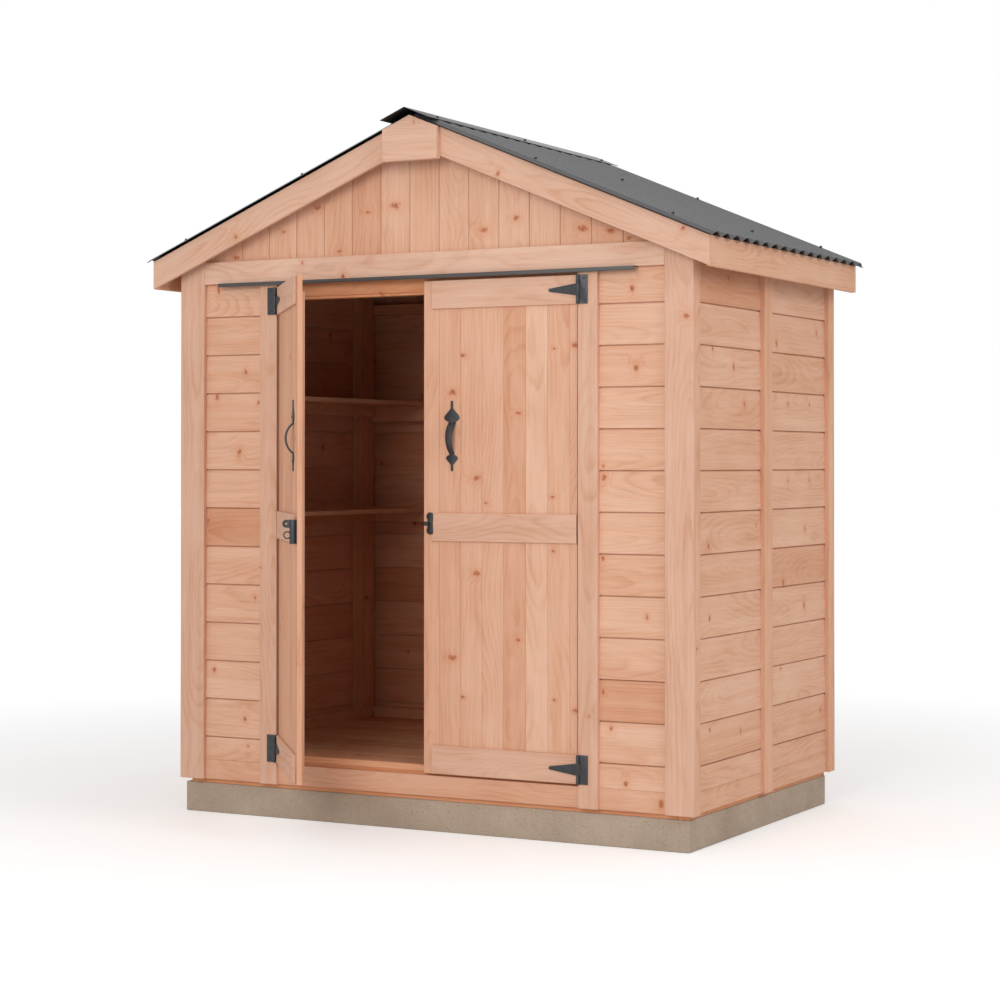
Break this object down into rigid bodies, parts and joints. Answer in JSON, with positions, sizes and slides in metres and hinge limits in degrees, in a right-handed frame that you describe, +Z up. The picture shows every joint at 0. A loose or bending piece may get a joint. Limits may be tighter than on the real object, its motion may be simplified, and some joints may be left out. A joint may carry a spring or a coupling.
{
  "type": "wooden tool shed",
  "caption": "Gable-front cedar tool shed with lap siding, a pair of ledged swing doors, inside shelves, a corrugated roof and a low concrete base, for storing garden tools.",
  "frame": {"origin": "middle of the underside of the concrete base, on the ground", "axes": "+Z up, -Y out through the doors, +X to the right of someone facing the doors"},
  "size_m": [2.0136, 1.6636, 2.2282],
  "materials": {
    "cedar": "bare planed knotty cedar, satin",
    "framing": "rough-sawn softwood, matte",
    "concrete": "cast concrete, matte",
    "roofing": "dark grey corrugated sheet, satin",
    "flashing": "dark coated sheet",
    "black_iron": "black powder coat, slightly textured"
  },
  "bodies": {
    "shed": {"concrete_base": "concrete", "floor_frame": "framing", "floor_boards": "framing", "front_wall_left": "cedar", "front_wall_right": "cedar", "left_wall": "cedar", "right_wall": "cedar", "back_wall": "cedar", "front_gable": "cedar", "back_gable": "cedar", "door_lintel": "framing", "skirt_boards": "cedar", "front_corner_boards": "cedar", "back_corner_boards": "cedar", "side_corner_boards": "cedar", "wall_battens": "cedar", "header_trims": "cedar", "door_jamb_trims": "cedar", "drip_flashing": "flashing", "rake_boards": "cedar", "peak_plates": "cedar", "eave_fascias": "cedar", "roof_decks": "framing", "left_roof_sheet": "roofing", "right_roof_sheet": "roofing", "ridge_cap": "roofing", "roof_frame": "framing", "wall_plates": "framing", "wall_studs": "framing", "upper_shelf": "framing", "lower_shelf": "framing", "shelf_cleats": "framing", "hinge_plates": "black_iron"},
    "left_door": {"left_door_boards": "cedar", "left_door_rails": "cedar", "left_door_stiles": "cedar", "left_door_handle": "black_iron", "left_door_straps": "black_iron", "left_door_latch": "black_iron"},
    "right_door": {"right_door_boards": "cedar", "right_door_rails": "cedar", "right_door_stiles": "cedar", "right_door_handle": "black_iron", "right_door_straps": "black_iron", "right_door_striker": "black_iron"}
  },
  "joints": [
    {"name": "left_door_hinge", "type": "hinge", "parent": "shed", "child": "left_door", "pos_m": [-0.541, -0.5935, 0], "axis": [0, 0, -1], "range_deg": [-50.5, 114.5]},
    {"name": "right_door_hinge", "type": "hinge", "parent": "shed", "child": "right_door", "pos_m": [0.541, -0.5935, 0], "axis": [0, 0, 1], "range_deg": [0, 165]}
  ]
}
